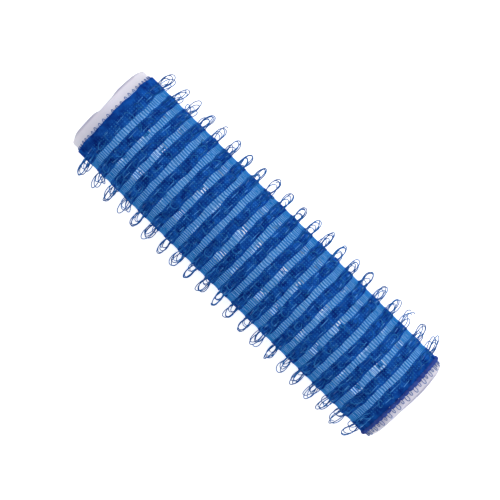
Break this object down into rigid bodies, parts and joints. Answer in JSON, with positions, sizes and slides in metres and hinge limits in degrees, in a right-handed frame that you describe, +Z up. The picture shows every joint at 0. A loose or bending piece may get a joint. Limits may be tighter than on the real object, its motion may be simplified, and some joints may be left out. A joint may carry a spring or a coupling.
{
  "type": "hair roller",
  "caption": "Self-grip hair roller: a thin perforated plastic tube in a sleeve of woven tape, with rows of small standing loops that hold the hair.",
  "frame": {"origin": "middle of the roller's axis, which is also the centre of its box", "axes": "+X along the roller's axis, from the plain edge of the tape to its knitted edge; +Z up, with the roller lying on its side on its loops"},
  "size_m": [0.063, 0.0208, 0.0208],
  "materials": {
    "tube_plastic": "translucent, slightly waxy",
    "weft_yarn": "fine shiny thread",
    "warp_yarn": "close woven",
    "edge_yarn": "knitted",
    "hook_wire": "clear monofilament"
  },
  "bodies": {
    "root": {"core_tube": "tube_plastic", "weft_threads": "weft_yarn", "selvedge_turns": "weft_yarn", "knitted_edge": "edge_yarn", "warp_band_01": "warp_yarn", "warp_band_02": "warp_yarn", "warp_band_03": "warp_yarn", "warp_band_04": "warp_yarn", "warp_band_05": "warp_yarn", "warp_band_06": "warp_yarn", "warp_band_07": "warp_yarn", "warp_band_08": "warp_yarn", "warp_band_09": "warp_yarn", "warp_band_10": "warp_yarn", "warp_band_11": "warp_yarn", "warp_band_12": "warp_yarn", "warp_band_13": "warp_yarn", "warp_band_14": "warp_yarn", "warp_band_15": "warp_yarn", "warp_band_16": "warp_yarn", "warp_band_17": "warp_yarn", "warp_band_18": "warp_yarn", "warp_band_19": "warp_yarn", "warp_band_20": "warp_yarn", "warp_band_21": "warp_yarn", "loop_row_01": "hook_wire", "loop_row_02": "hook_wire", "loop_row_03": "hook_wire", "loop_row_04": "hook_wire", "loop_row_05": "hook_wire", "loop_row_06": "hook_wire", "loop_row_07": "hook_wire", "loop_row_08": "hook_wire", "loop_row_09": "hook_wire", "loop_row_10": "hook_wire", "loop_row_11": "hook_wire", "loop_row_12": "hook_wire", "loop_row_13": "hook_wire", "loop_row_14": "hook_wire", "loop_row_15": "hook_wire", "loop_row_16": "hook_wire", "loop_row_17": "hook_wire", "loop_row_18": "hook_wire", "loop_row_19": "hook_wire", "loop_row_20": "hook_wire", "loop_row_21": "hook_wire"}
  },
  "joints": []
}
